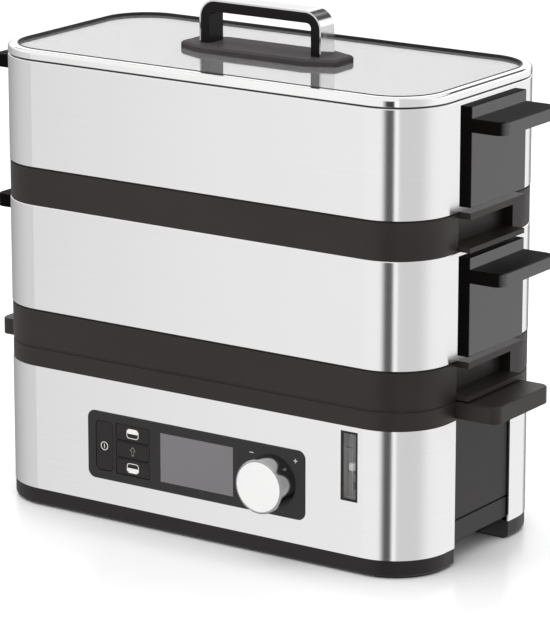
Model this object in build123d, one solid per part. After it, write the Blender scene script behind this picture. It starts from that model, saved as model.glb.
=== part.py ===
"""Two-tier electric food steamer with a control panel, built as separate named pieces.

Frame: millimetres, +Z up, the control panel faces -Y and the hand grips point along X.
The origin is on the table, at the centre of the whole appliance's footprint.
Inside the script the plan centre of the steel body is x = 0, y = 0.
"""

import math
import os

from build123d import *

# ---------------------------------------------------------------- body outline
BODY_W = 300.0           # left to right over the steel
BODY_D = 147.5           # front to back over the steel
CORNER_R = 34.5          # plan corner radius of the steel
MIN_CORNER_R = 3.0       # smallest corner radius of a piece far inside the outline

# ---------------------------------------------------------------- heights, bottom to top
FOOT_H = 1.0
PLINTH_H = 10.0
BASE_STEEL_H = 76.0
RIM_H = 12.0
BAND_H = 23.0
SLEEVE_H = 63.0
LID_RIM_H = 6.0

# ---------------------------------------------------------------- walls and clearances
STEEL_T = 1.0
PLASTIC_T = 2.5
BAND_STEP = 0.3          # the plastic bands stand back from the steel by this much
FIT = 0.05               # sliding fit between two pieces of one assembly
PLAY = 0.6               # gap round a piece that lifts off
SCREW_PLAY = 0.05        # radial gap round a screw shank
EDGE_R = 0.6             # softened edge of a moulded piece
SEAM_H = 1.2             # shadow groove where two outer pieces meet
SEAM_DEPTH = 1.0

# ---------------------------------------------------------------- plinth, pan and feet
PLINTH_EDGE_R = 2.0
PANEL_PLAY = 0.1         # side panel to the pan wall behind it
UPSTAND_H = 12.0         # pan wall above the plinth
SIDE_MARGIN = 9.25       # flat strip of steel between the corner and the side panel
SIDE_PANEL_INSET = 1.6
SIDE_BAR_H = 15.0        # black bar under each side panel, above the plinth
PANEL_LAP = 4.0          # side panel hidden behind the steel edge
RECESS_H = 14.0          # finger recess under each end of the base
RECESS_DEPTH = 20.0
FOOT_L = 28.0
FOOT_INSET = 2.8
TIE_R = 4.0

# ---------------------------------------------------------------- screws
TIE_SCREW_R = 1.7
TIE_SCREW_HEAD_R = 3.2
TIE_SCREW_HEAD_H = 2.2
TIE_SCREW_L = 14.0
SMALL_SCREW_R = 1.2
SMALL_SCREW_HEAD_R = 2.3
SMALL_SCREW_HEAD_H = 1.4
SMALL_SCREW_END = 2.0    # free depth of the hole beyond a small screw
HANDLE_SCREW_R = 2.0
HANDLE_SCREW_HEAD_R = 4.0
HANDLE_SCREW_HEAD_H = 1.8
HANDLE_SCREW_SHARE = 0.6  # place of a handle screw between the bracket's middle and its edge

# ---------------------------------------------------------------- hand grips and channels
GRIP_L = 21.0            # tongue beyond the bracket
GRIP_T = 7.7
GRIP_DROP = 9.3          # grip top below the sleeve top
GRIP_CORNER_R = 6.0
BASE_GRIP_L = 26.5
BASE_GRIP_T = 9.8
BASE_GRIP_DROP = 1.0     # base grip top below the rim top
BRACKET_T = 7.5
BRACKET_BOTTOM_GAP = 3.0
BRACKET_TOP_GAP = 2.7
SIDE_STEP = 0.5          # brackets and channels are this much shorter than the steel gap
CHANNEL_DEPTH = 7.0
CHANNEL_TOP_T = 3.8
CHANNEL_BOTTOM_T = 2.9

# ---------------------------------------------------------------- boiler, seal, drip tray
WEB_W = 10.0             # ledge inside the base rim
SEAL_W = 3.0
SEAL_T = 1.5
ELECTRICS_H = 34.0       # space for the electrics under the boiler floor
HEATER_W = 6.5
HEATER_INSET = 40.0
HEATER_PIN_L = 8.5
HEATER_PIN_R = 2.0
THERMOSTAT_R = 8.0
THERMOSTAT_H = 7.0
TAB_W = 6.3              # flat push-on terminal
TAB_T = 0.8
TRAY_LAP = 3.0
TRAY_T = 2.0
TRAY_DEPTH = 10.0
TRAY_WALL_INSET = 20.0
STEAM_PORT_R = 14.5
STEAM_PORT_X = 71.0
STEAM_PORT_H = 6.0

# ---------------------------------------------------------------- baskets
LIP_W = 3.0              # inward hem at the top of a steel sleeve
HEM_R = 0.8              # outer bend of that hem
SPIGOT_T = 2.0
SPIGOT_H = 3.0
COLLAR_T = 2.0           # plastic collar that centres the sleeve on its band
COLLAR_H = 8.0
LEDGE_DROP = 4.0         # grid ledge above the band's lower face
LEDGE_W = 5.0
GRID_T = 1.5
GRID_RIM_H = 4.0
GRID_GAP = 0.5
SLOT_L = 9.0
SLOT_W = 3.6
SLOT_PITCH_X = 15.0
SLOT_PITCH_Y = 9.0
GRID_BORDER = 8.0

# ---------------------------------------------------------------- control panel
PANEL_RISE = 35.3        # panel centre above the plinth
PANEL_H = 41.4
PANEL_R = 5.0
PANEL_PROUD = 0.6
PANEL_T = 3.0
PANEL_FLANGE = 3.0
PANEL_LEFT_SHARE = 0.616  # share of the free front width that lies left of the panel
KEY_INSET = 6.2          # panel edge to the power key
POWER_KEY_W = 12.0
POWER_KEY_H = 29.9
POWER_KEY_R = 3.0
KEY_TO_KEY = 2.6
KEY_W = 24.0
KEY_H = 9.4
KEY_BAR = 1.1
KEY_R = 0.8
KEY_GAP = 0.3
KEY_TRAVEL = 0.6
KEY_FLANGE_T = 0.9
KEY_FLANGE_PLAY = 0.1    # key flange to the back of the panel at rest
KEY_STEM_R = 2.0
KEY_REST_GAP = 0.1       # key stem to pressed switch cap
SWITCH_H = 2.1
SWITCH_W = 6.0
KEY_TO_DISPLAY = 8.0
DISPLAY_W = 51.5
DISPLAY_H = 29.6
LENS_T = 1.2
LENS_LEDGE = 1.6
MODULE_MARGIN = 2.5
MODULE_T = 4.0
DISPLAY_TO_KNOB = 12.2
KNOB_TO_EDGE = 5.5
BOARD_DEPTH = 12.0       # face of the control board behind the steel face
BOARD_T = 1.6
BOARD_MARGIN = 3.0
BOARD_TO_BASIN = 2.4

# ---------------------------------------------------------------- rotary knob
KNOB_R = 16.0
KNOB_L = 14.5
KNOB_GAP = 0.9           # knob to panel
KNOB_WALL = 1.4
KNOB_FACE_T = 1.2
KNOB_CHAMFER = 0.7
SHAFT_R = 3.0
SHAFT_PLAY = 0.05
BUSH_R = 4.5
BUSH_L = 4.0             # bush beyond the panel face
KNOB_CAVITY_R = 6.0
ENCODER_W = 13.0
ENCODER_T = 6.0
ENCODER_FLOOR = 1.0      # closed end of the encoder's bore
SHAFT_END = 0.5          # shaft end to that floor
BUSH_PLAY = 1.0          # bush end to the bottom of the knob's hollow

# ---------------------------------------------------------------- water level gauge
GAUGE_W = 11.3
GAUGE_H = 41.0
GAUGE_DROP = 3.0         # gauge top below the base rim
GAUGE_MARGIN = 3.2       # gauge edge to the start of the body corner
GAUGE_FRAME = 1.2
GAUGE_T = 8.0
GAUGE_WINDOW_DEPTH = 0.1  # window face behind the steel face
GAUGE_WINDOW_T = 1.2
GAUGE_FLANGE = 1.4
GAUGE_FLANGE_T = 1.4
GUIDE_R = 0.4
FLOAT_R = 2.2
FLOAT_RISE = 19.5        # float centre above the gauge's lower end
FLOAT_BORE_PLAY = 0.1
FLOAT_ROUND = 0.45       # corner radius as a share of the float's radius
STOP_R = 0.9
STOP_H = 1.2
LEVEL_SPOUT_R = 3.5
LEVEL_SPOUT_BORE = 2.4
LEVEL_SPOUT_RISE = 5.0

# ---------------------------------------------------------------- power board and cord gland
POWER_BOARD_W = 90.0
POWER_BOARD_D = 60.0
COMPONENT_H = 11.0
CAPACITOR_R = 5.0
POST_H = 8.0
POST_R = 3.4
POST_MARGIN = 5.0
CORD_BORE_R = 3.6
GLAND_NECK_R = 6.0
GLAND_FLANGE_R = 8.5
GLAND_FLANGE_T = 2.0
GLAND_SLEEVE_L = 6.0
GLAND_X = 100.0
GLAND_RISE = 24.0        # gland axis above the plinth

# ---------------------------------------------------------------- lid
LID_SEAM_H = 0.9         # gap that shows the gasket under the rim
LID_LIP_W = 5.6          # steel rim over the glass edge
LID_SKIN = 0.8
LID_EDGE_R = 2.2
GLASS_T = 2.8
GLASS_INSET = 1.7
BEAD_W = 1.1             # silicone bead along the rim's inner edge
BEAD_H = 1.2
GASKET_INSET = 1.2       # edge of the gasket in the seam under the rim
GASKET_W = 4.0
GASKET_LIP_T = 2.0
GASKET_LIP_H = 2.5
PLATE_L = 109.0
PLATE_D = 34.0
PLATE_T = 4.0
PLATE_CORNER_R = 2.0
PLATE_BEVEL = 1.2
PLATE_TAPER_X = 18.0
PLATE_TAPER_Y = 7.5
ARCH_L = 83.0
ARCH_H = 25.0
ARCH_D = 14.0
ARCH_T = 6.0
ARCH_R = 10.0
ARCH_INNER_R = 3.0
STRIP_T = 1.0
LID_SCREW_R = 1.5
LID_SCREW_HEAD_R = 3.6
LID_SCREW_HEAD_H = 2.0
LID_SCREW_BITE = 12.0    # screw length inside the bow's leg
GLASS_HOLE_PLAY = 0.2
WASHER_R = 7.0
WASHER_T = 1.2

# ---------------------------------------------------------------- derived levels
PLINTH_TOP = FOOT_H + PLINTH_H
BASE_TOP = PLINTH_TOP + BASE_STEEL_H
RIM_TOP = BASE_TOP + RIM_H
TIER_H = BAND_H + SLEEVE_H
LID_BOTTOM = RIM_TOP + 2 * TIER_H
LID_TOP = LID_BOTTOM + LID_RIM_H
PAN_FLOOR_TOP = FOOT_H + PLASTIC_T
PAN_TOP = PLINTH_TOP + UPSTAND_H
SIDE_BAR_TOP = PLINTH_TOP + SIDE_BAR_H
WEB_TOP = BASE_TOP + PLASTIC_T
BASIN_FLOOR = PLINTH_TOP + ELECTRICS_H
BASIN_TOP = WEB_TOP + SEAL_T + STEEL_T
RIM_BOTTOM = LID_BOTTOM + LID_SEAM_H
GLASS_BOTTOM = RIM_BOTTOM + LID_SKIN
GLASS_TOP = GLASS_BOTTOM + GLASS_T
PLATE_TOP = GLASS_TOP + PLATE_T
LID_SCREW_TOP = PLATE_TOP + LID_SCREW_BITE

# ---------------------------------------------------------------- derived plan sizes
FRONT_Y = -BODY_D / 2
SIDE_X = BODY_W / 2
SIDE_HALF = BODY_D / 2 - CORNER_R - SIDE_MARGIN
UPSTAND_INSET = SIDE_PANEL_INSET + PLASTIC_T + PANEL_PLAY
TIE_INSET = UPSTAND_INSET + PLASTIC_T + TIE_R + PLAY
PART_HALF = SIDE_HALF - SIDE_STEP
BAND_INNER = BAND_STEP + PLASTIC_T
SPIGOT_INSET = LIP_W + PLAY
CHANNEL_BACK = CHANNEL_DEPTH + PLASTIC_T
GRID_INSET = CHANNEL_BACK + GRID_GAP
BASIN_INSET = max(BOARD_DEPTH + BOARD_T + BOARD_TO_BASIN, TIE_INSET + TIE_R + PLAY)
KNOB_PROUD = PANEL_PROUD + KNOB_GAP + KNOB_L
LID_SCREW_X = (ARCH_L - ARCH_T) / 2
Y_SHIFT = (KNOB_PROUD - GLAND_FLANGE_T) / 2

# ---------------------------------------------------------------- derived panel layout
FLAT_X = SIDE_X - CORNER_R
PANEL_W = (KEY_INSET + POWER_KEY_W + KEY_TO_KEY + KEY_W + KEY_TO_DISPLAY + DISPLAY_W
           + DISPLAY_TO_KNOB + 2 * KNOB_R + KNOB_TO_EDGE)
GAUGE_X = FLAT_X - GAUGE_MARGIN - GAUGE_W / 2
FREE_FRONT = GAUGE_X - GAUGE_W / 2 + FLAT_X - PANEL_W
PANEL_LEFT = -FLAT_X + FREE_FRONT * PANEL_LEFT_SHARE
PANEL_X = PANEL_LEFT + PANEL_W / 2
PANEL_Z = PLINTH_TOP + PANEL_RISE
POWER_KEY_X = PANEL_LEFT + KEY_INSET + POWER_KEY_W / 2
KEY_X = POWER_KEY_X + POWER_KEY_W / 2 + KEY_TO_KEY + KEY_W / 2
DISPLAY_X = KEY_X + KEY_W / 2 + KEY_TO_DISPLAY + DISPLAY_W / 2
KNOB_X = DISPLAY_X + DISPLAY_W / 2 + DISPLAY_TO_KNOB + KNOB_R
PANEL_BACK = PANEL_T - PANEL_PROUD
GAUGE_TOP = BASE_TOP - GAUGE_DROP
GAUGE_BOTTOM = GAUGE_TOP - GAUGE_H
GAUGE_Z = (GAUGE_TOP + GAUGE_BOTTOM) / 2
FLOAT_Z = GAUGE_BOTTOM + FLOAT_RISE
FLOAT_DEPTH = (GAUGE_WINDOW_T + GAUGE_T - GAUGE_FRAME) / 2
LEVEL_SPOUT_Z = max(GAUGE_BOTTOM, BASIN_FLOOR) + LEVEL_SPOUT_RISE

# name, centre x, centre z, width, height, corner radius of each key
KEYS = [
    ("power_key", POWER_KEY_X, PANEL_Z, POWER_KEY_W, POWER_KEY_H, POWER_KEY_R),
    ("upper_basket_key", KEY_X, PANEL_Z + KEY_H + KEY_BAR, KEY_W, KEY_H, KEY_R),
    ("arrow_key", KEY_X, PANEL_Z, KEY_W, KEY_H, KEY_R),
    ("lower_basket_key", KEY_X, PANEL_Z - KEY_H - KEY_BAR, KEY_W, KEY_H, KEY_R),
]


# ================================================================ shape helpers
def outline(inset):
    """Plan outline of the body, moved inwards by inset."""
    radius = max(CORNER_R - inset, MIN_CORNER_R)
    return RectangleRounded(BODY_W - 2 * inset, BODY_D - 2 * inset, radius)


def slab(inset, low, high, top_r=0.0, bottom_r=0.0):
    """Solid with the body outline between two heights, with optional rounded edges."""
    solid = extrude(Pos(0, 0, low) * outline(inset), amount=high - low)
    if top_r:
        solid = fillet(solid.faces().sort_by(Axis.Z)[-1].edges(), top_r)
    if bottom_r:
        solid = fillet(solid.faces().sort_by(Axis.Z)[0].edges(), bottom_r)
    return solid


def ring(outer_inset, inner_inset, low, high, top_r=0.0, bottom_r=0.0):
    """Wall that follows the body outline between two insets and two heights."""
    return slab(outer_inset, low, high, top_r, bottom_r) - slab(inner_inset, low, high)


def block(low_x, high_x, low_y, high_y, low_z, high_z):
    """Box between two corners."""
    centre = ((low_x + high_x) / 2, (low_y + high_y) / 2, (low_z + high_z) / 2)
    return Pos(*centre) * Box(high_x - low_x, high_y - low_y, high_z - low_z)


def post(x, y, radius, low, high):
    """Upright cylinder."""
    return Pos(x, y, (low + high) / 2) * Cylinder(radius, high - low)


def behind(sketch, near, far):
    """Extrude a front-view (x, z) sketch from depth near to depth far behind the steel."""
    plane = Plane.XZ.offset(-(FRONT_Y + far))
    return extrude(plane * sketch, amount=far - near)


def front_plate(x, z, width, height, radius, near, far):
    """Plate parallel to the front, with rounded corners."""
    return behind(Pos(x, z) * RectangleRounded(width, height, radius), near, far)


def front_box(x, z, width, height, near, far):
    """Square-cornered plate parallel to the front."""
    return behind(Pos(x, z) * Rectangle(width, height), near, far)


def front_disc(x, z, radius, near, far):
    """Cylinder with its axis along Y."""
    return behind(Pos(x, z) * Circle(radius), near, far)


def side_rod(x_low, x_high, y, z, radius):
    """Cylinder with its axis along X."""
    plane = Plane(origin=(x_low, y, z), z_dir=(1, 0, 0))
    return extrude(plane * Circle(radius), amount=x_high - x_low)


def mirror_x(shape):
    """The same shape on the other end of the appliance."""
    return mirror(shape, about=Plane.YZ)


def both_ends(shape):
    """The shape and its mirror image at the other end."""
    return shape + mirror_x(shape)


def save(shape, name):
    """Write one node, moved from the body centre to the origin of the footprint."""
    export_step(Pos(0, Y_SHIFT, 0) * shape, f"parts/{name}.step")


# ================================================================ base, outside
def tie_points():
    """Plan positions of the four corner pillars."""
    reach = (CORNER_R - TIE_INSET) * math.sqrt(0.5)
    x = SIDE_X - CORNER_R + reach
    y = BODY_D / 2 - CORNER_R + reach
    return [(x, y), (-x, y), (-x, -y), (x, -y)]


def power_posts():
    """Plan positions of the four power board posts."""
    x = POWER_BOARD_W / 2 - POST_MARGIN
    y = POWER_BOARD_D / 2 - POST_MARGIN
    return [(x, y), (-x, y), (-x, -y), (x, -y)]


def base_pan():
    """Plinth, floor and lower wall of the base, with a finger recess at each end."""
    plinth = slab(BAND_STEP, FOOT_H, PLINTH_TOP, bottom_r=PLINTH_EDGE_R)
    wall = slab(UPSTAND_INSET, PLINTH_TOP, PAN_TOP)
    bar_x = SIDE_X - SIDE_PANEL_INSET
    bar = block(bar_x - 2 * PLASTIC_T, bar_x, -PART_HALF, PART_HALF, PLINTH_TOP, SIDE_BAR_TOP)
    hollow = slab(UPSTAND_INSET + PLASTIC_T, PAN_FLOOR_TOP, PAN_TOP)
    reach_x = SIDE_X - RECESS_DEPTH
    roof_z = RECESS_H + PLASTIC_T
    jacket = block(reach_x - PLASTIC_T, bar_x - PLASTIC_T, -SIDE_HALF - PLASTIC_T,
                   SIDE_HALF + PLASTIC_T, FOOT_H, roof_z)
    recess = block(reach_x, SIDE_X, -SIDE_HALF, SIDE_HALF, 0, RECESS_H)
    pan = plinth + wall + both_ends(bar) - hollow
    pan = pan + both_ends(jacket & slab(UPSTAND_INSET, FOOT_H, PAN_TOP)) - both_ends(recess)
    boss_top = PAN_FLOOR_TOP + PLASTIC_T
    for x, y in tie_points():
        pan += post(x, y, TIE_R, PAN_FLOOR_TOP, boss_top)
        pan -= post(x, y, TIE_SCREW_R + SCREW_PLAY, FOOT_H, boss_top)
        pan -= post(x, y, TIE_SCREW_HEAD_R + PLAY, FOOT_H, PAN_FLOOR_TOP)
    for x, y in power_posts():
        pan += post(x, y, POST_R, PAN_FLOOR_TOP, PAN_FLOOR_TOP + POST_H)
        pan -= post(x, y, SMALL_SCREW_R + SCREW_PLAY, PAN_FLOOR_TOP, PAN_FLOOR_TOP + POST_H)
    return pan


def rubber_feet():
    """Four flat corner pads that follow the plinth."""
    x = SIDE_X - FOOT_L
    pad = slab(FOOT_INSET, 0, FOOT_H) & block(x, SIDE_X, SIDE_HALF, BODY_D, 0, FOOT_H)
    pads = both_ends(pad)
    return pads + mirror(pads, about=Plane.XZ)


def pan_screws():
    """Screws that pull the pan up against the rim's pillars."""
    screws = Part()
    head_low = PAN_FLOOR_TOP - TIE_SCREW_HEAD_H
    for x, y in tie_points():
        screws += post(x, y, TIE_SCREW_HEAD_R, head_low, PAN_FLOOR_TOP)
        screws += post(x, y, TIE_SCREW_R, PAN_FLOOR_TOP, PAN_FLOOR_TOP + TIE_SCREW_L)
    return screws


def base_steel():
    """Steel wall of the base before it is split into a front and a rear shell."""
    side = block(-BODY_W, BODY_W, -SIDE_HALF, SIDE_HALF, 0, LID_TOP)
    return ring(0, STEEL_T, PLINTH_TOP, BASE_TOP) - side


def base_front_shell():
    """Brushed steel front with its cut-outs for the control panel and the gauge."""
    shell = base_steel() & block(-BODY_W, BODY_W, -BODY_D, 0, 0, LID_TOP)
    shell -= front_plate(PANEL_X, PANEL_Z, PANEL_W + 2 * FIT, PANEL_H + 2 * FIT,
                         PANEL_R + FIT, 0, STEEL_T)
    shell -= front_box(GAUGE_X, GAUGE_Z, GAUGE_W + 2 * FIT, GAUGE_H + 2 * FIT, 0, STEEL_T)
    return shell


def base_rear_shell():
    """Brushed steel back with the hole for the cord gland."""
    shell = base_steel() & block(-BODY_W, BODY_W, 0, BODY_D, 0, LID_TOP)
    return shell - rear_rod(GLAND_NECK_R + FIT, 0, STEEL_T)


def base_side_panel():
    """Dark panel between the two steel shells, at the right-hand end."""
    reach = SIDE_HALF + PANEL_LAP
    strip = block(0, BODY_W, -reach, reach, SIDE_BAR_TOP, BASE_TOP)
    inner = SIDE_PANEL_INSET + PLASTIC_T - FIT
    seam_top = SIDE_BAR_TOP + SEAM_H
    panel = ring(SIDE_PANEL_INSET, inner, seam_top, BASE_TOP)
    panel += ring(SIDE_PANEL_INSET + SEAM_DEPTH, inner, SIDE_BAR_TOP, seam_top)
    return panel & strip


def base_grip():
    """Flat grip at the right-hand end of the base rim."""
    high = RIM_TOP - BASE_GRIP_DROP
    tongue = block(SIDE_X - BAND_INNER, SIDE_X + BASE_GRIP_L, -SIDE_HALF, SIDE_HALF,
                   high - BASE_GRIP_T, high)
    tongue = fillet(tongue.edges().filter_by(Axis.Z).group_by(Axis.X)[-1], GRIP_CORNER_R)
    return chamfer(tongue.faces().sort_by(Axis.Z)[-1].edges(), EDGE_R)


def base_rim():
    """Black rim on top of the base, with the grips, the ledge and the screw pillars."""
    seam_low = RIM_TOP - SEAM_H
    rim = ring(BAND_STEP, BAND_INNER, BASE_TOP, seam_low, top_r=EDGE_R)
    rim += ring(SEAM_DEPTH, BAND_INNER, seam_low, RIM_TOP)
    rim += ring(BAND_STEP, WEB_W, BASE_TOP, WEB_TOP)
    rim += ring(UPSTAND_INSET, UPSTAND_INSET + COLLAR_T, BASE_TOP - SPIGOT_H, BASE_TOP)
    rim += both_ends(base_grip())
    pillar_low = PAN_FLOOR_TOP + PLASTIC_T
    for x, y in tie_points():
        rim += post(x, y, TIE_R, pillar_low, WEB_TOP)
        rim -= post(x, y, TIE_SCREW_R + SCREW_PLAY, pillar_low, pillar_low + TIE_SCREW_L)
    return rim


# ================================================================ base, inside
def level_spout_rod(radius, near, far):
    """Rod along Y on the axis of the level gauge's water spout."""
    return front_disc(GAUGE_X, LEVEL_SPOUT_Z, radius, near, far)


def boiler_basin():
    """Steel water basin with a flange that rests on the seal."""
    seal_outer = WEB_W - SEAL_W
    basin = ring(seal_outer, BASIN_INSET + STEEL_T, BASIN_TOP - STEEL_T, BASIN_TOP)
    basin += ring(BASIN_INSET, BASIN_INSET + STEEL_T, BASIN_FLOOR, BASIN_TOP)
    basin += slab(BASIN_INSET, BASIN_FLOOR, BASIN_FLOOR + STEEL_T)
    return basin - level_spout_rod(LEVEL_SPOUT_R + FIT, BASIN_INSET, BASIN_INSET + STEEL_T)


def basin_seal():
    """Flat rubber ring between the rim's ledge and the basin flange."""
    return ring(WEB_W - SEAL_W, WEB_W, WEB_TOP, WEB_TOP + SEAL_T)


def heating_element():
    """Racetrack-shaped heater under the basin, with its two terminals."""
    heater = ring(HEATER_INSET, HEATER_INSET + HEATER_W, BASIN_FLOOR - HEATER_W, BASIN_FLOOR)
    y = BODY_D / 2 - HEATER_INSET - HEATER_W / 2
    low = BASIN_FLOOR - HEATER_W - HEATER_PIN_L
    for x in (-HEATER_W, HEATER_W):
        heater += post(x, y, HEATER_PIN_R, low, BASIN_FLOOR - HEATER_W)
    return heater


def thermostat():
    """Snap-disc thermostat at the middle of the basin floor."""
    low = BASIN_FLOOR - THERMOSTAT_H
    disc = post(0, 0, THERMOSTAT_R, low, BASIN_FLOOR)
    for x in (-THERMOSTAT_R / 2, THERMOSTAT_R / 2):
        disc += block(x - TAB_T / 2, x + TAB_T / 2, -TAB_W / 2, TAB_W / 2,
                      low - THERMOSTAT_H, low)
    return disc


def power_board():
    """Bare mains circuit board on the pan's posts."""
    low = PAN_FLOOR_TOP + POST_H
    board = block(-POWER_BOARD_W / 2, POWER_BOARD_W / 2, -POWER_BOARD_D / 2,
                  POWER_BOARD_D / 2, low, low + BOARD_T)
    for x, y in power_posts():
        board -= post(x, y, SMALL_SCREW_R + SCREW_PLAY, low, low + BOARD_T)
    return board


def power_components():
    """Relay, transformer and capacitor standing on the power board."""
    low = PAN_FLOOR_TOP + POST_H + BOARD_T
    relay = block(-32, -14, -18, -8, low, low + COMPONENT_H)
    transformer = block(8, 30, -16, 6, low, low + COMPONENT_H)
    capacitor = post(-22, 8, CAPACITOR_R, low, low + COMPONENT_H)
    return relay + transformer + capacitor


def board_screw_points():
    """Front-view positions of the control board's screws."""
    x = PANEL_W / 2 - BOARD_MARGIN
    z = PANEL_H / 2 - BOARD_MARGIN
    return [(PANEL_X + sx * x, PANEL_Z + sz * z) for sx in (-1, 1) for sz in (-1, 1)]


def board_screws():
    """Small screws of the power board and of the control board."""
    screws = Part()
    head_low = PAN_FLOOR_TOP + POST_H + BOARD_T
    for x, y in power_posts():
        screws += post(x, y, SMALL_SCREW_HEAD_R, head_low, head_low + SMALL_SCREW_HEAD_H)
        screws += post(x, y, SMALL_SCREW_R, PAN_FLOOR_TOP + SMALL_SCREW_END, head_low)
    board_back = BOARD_DEPTH + BOARD_T
    for x, z in board_screw_points():
        screws += front_disc(x, z, SMALL_SCREW_HEAD_R, board_back,
                             board_back + SMALL_SCREW_HEAD_H)
        screws += front_disc(x, z, SMALL_SCREW_R, PANEL_BACK + SMALL_SCREW_END, board_back)
    return screws


def rear_rod(radius, near, far):
    """Rod along Y on the cord gland's axis, between two depths inside the rear steel."""
    plane = Plane.XZ.offset(-(BODY_D / 2 - near))
    return extrude(plane * (Pos(GLAND_X, PLINTH_TOP + GLAND_RISE) * Circle(radius)),
                   amount=far - near)


def cord_gland():
    """Rubber bush in the rear shell where the mains cord leaves."""
    sleeve_end = STEEL_T + GLAND_FLANGE_T + GLAND_SLEEVE_L
    gland = rear_rod(GLAND_FLANGE_R, -GLAND_FLANGE_T, 0)
    gland += rear_rod(GLAND_NECK_R, 0, sleeve_end)
    gland += rear_rod(GLAND_FLANGE_R, STEEL_T, STEEL_T + GLAND_FLANGE_T)
    return gland - rear_rod(CORD_BORE_R, -GLAND_FLANGE_T, sleeve_end)


# ================================================================ control panel
def control_bezel():
    """Glossy black panel with its key holes, display pocket and board bosses."""
    bezel = front_plate(PANEL_X, PANEL_Z, PANEL_W, PANEL_H, PANEL_R, -PANEL_PROUD, PANEL_BACK)
    bezel = chamfer(bezel.faces().sort_by(Axis.Y)[0].edges(), PANEL_PROUD / 2)
    bezel += front_plate(PANEL_X, PANEL_Z, PANEL_W + 2 * PANEL_FLANGE,
                         PANEL_H + 2 * PANEL_FLANGE, PANEL_R, STEEL_T, PANEL_BACK)
    for x, z in board_screw_points():
        bezel += front_disc(x, z, POST_R, PANEL_BACK, BOARD_DEPTH)
        bezel -= front_disc(x, z, SMALL_SCREW_R + SCREW_PLAY, PANEL_BACK, BOARD_DEPTH)
    for _, x, z, width, height, radius in KEYS:
        bezel -= front_plate(x, z, width + 2 * KEY_GAP, height + 2 * KEY_GAP,
                             radius + KEY_GAP, -PANEL_PROUD, PANEL_BACK)
    lens_back = LENS_T - PANEL_PROUD
    bezel -= front_box(DISPLAY_X, PANEL_Z, DISPLAY_W + 2 * FIT, DISPLAY_H + 2 * FIT,
                       -PANEL_PROUD, lens_back)
    bezel -= front_box(DISPLAY_X, PANEL_Z, DISPLAY_W - 2 * LENS_LEDGE,
                       DISPLAY_H - 2 * LENS_LEDGE, lens_back, PANEL_BACK)
    return bezel - front_disc(KNOB_X, PANEL_Z, BUSH_R + FIT, -PANEL_PROUD, PANEL_BACK)


def key(x, z, width, height, radius):
    """One key: cap flush with the panel, flange behind it and a stem to its switch."""
    flange_near = PANEL_BACK + KEY_FLANGE_PLAY
    cap = front_plate(x, z, width, height, radius, -PANEL_PROUD, flange_near)
    cap = chamfer(cap.faces().sort_by(Axis.Y)[0].edges(), PANEL_PROUD / 3)
    flange_far = flange_near + KEY_FLANGE_T
    lap = (KEY_BAR - 2 * KEY_GAP) / 3
    flange_w = width + 2 * (KEY_GAP + lap)
    flange_h = height + 2 * (KEY_GAP + lap)
    cap += front_plate(x, z, flange_w, flange_h, radius, flange_near, flange_far)
    stem_end = BOARD_DEPTH - SWITCH_H - KEY_TRAVEL - KEY_REST_GAP
    return cap + front_disc(x, z, KEY_STEM_R, flange_far, stem_end)


def key_switches():
    """Tact switches on the control board, one behind each key."""
    switches = Part()
    for _, x, z, _, _, _ in KEYS:
        switches += front_box(x, z, SWITCH_W, SWITCH_W, BOARD_DEPTH - SWITCH_H, BOARD_DEPTH)
    return switches


def display_lens():
    """Clear window of the display, seated in the panel's pocket."""
    return front_box(DISPLAY_X, PANEL_Z, DISPLAY_W, DISPLAY_H, FIT - PANEL_PROUD,
                     LENS_T - PANEL_PROUD)


def display_module():
    """Liquid-crystal module behind the panel."""
    return front_box(DISPLAY_X, PANEL_Z, DISPLAY_W + 2 * MODULE_MARGIN,
                     DISPLAY_H + 2 * MODULE_MARGIN, PANEL_BACK, PANEL_BACK + MODULE_T)


def control_board():
    """Circuit board behind the panel, screwed to the panel's bosses."""
    board = front_box(PANEL_X, PANEL_Z, PANEL_W, PANEL_H, BOARD_DEPTH, BOARD_DEPTH + BOARD_T)
    for x, z in board_screw_points():
        board -= front_disc(x, z, SMALL_SCREW_R + SCREW_PLAY, BOARD_DEPTH,
                            BOARD_DEPTH + BOARD_T)
    return board


def rotary_encoder():
    """Encoder body on the board with the bush that carries the shaft."""
    near = BOARD_DEPTH - ENCODER_T
    bush_near = -PANEL_PROUD - BUSH_L
    encoder = front_box(KNOB_X, PANEL_Z, ENCODER_W, ENCODER_W, near, BOARD_DEPTH)
    encoder += front_disc(KNOB_X, PANEL_Z, BUSH_R, bush_near, near)
    bore_far = BOARD_DEPTH - ENCODER_FLOOR
    return encoder - front_disc(KNOB_X, PANEL_Z, SHAFT_R + SHAFT_PLAY, bush_near, bore_far)


def encoder_shaft():
    """Shaft that turns in the encoder bush and carries the knob."""
    near = -KNOB_PROUD + KNOB_FACE_T + KNOB_WALL
    return front_disc(KNOB_X, PANEL_Z, SHAFT_R, near, BOARD_DEPTH - ENCODER_FLOOR - SHAFT_END)


def knob_core():
    """Plastic inside of the knob, pressed on the shaft and hollow round the bush."""
    near = -KNOB_PROUD + KNOB_FACE_T
    far = -PANEL_PROUD - KNOB_GAP
    core = front_disc(KNOB_X, PANEL_Z, KNOB_R - KNOB_WALL, near, far)
    core -= front_disc(KNOB_X, PANEL_Z, KNOB_CAVITY_R, -PANEL_PROUD - BUSH_L - BUSH_PLAY, far)
    return core - front_disc(KNOB_X, PANEL_Z, SHAFT_R, near + KNOB_WALL, far)


def knob_sleeve():
    """Polished ring round the knob."""
    far = -PANEL_PROUD - KNOB_GAP
    sleeve = front_disc(KNOB_X, PANEL_Z, KNOB_R, -KNOB_PROUD, far)
    sleeve = chamfer(sleeve.faces().sort_by(Axis.Y)[0].edges(), KNOB_CHAMFER)
    return sleeve - front_disc(KNOB_X, PANEL_Z, KNOB_R - KNOB_WALL, -KNOB_PROUD, far)


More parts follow.
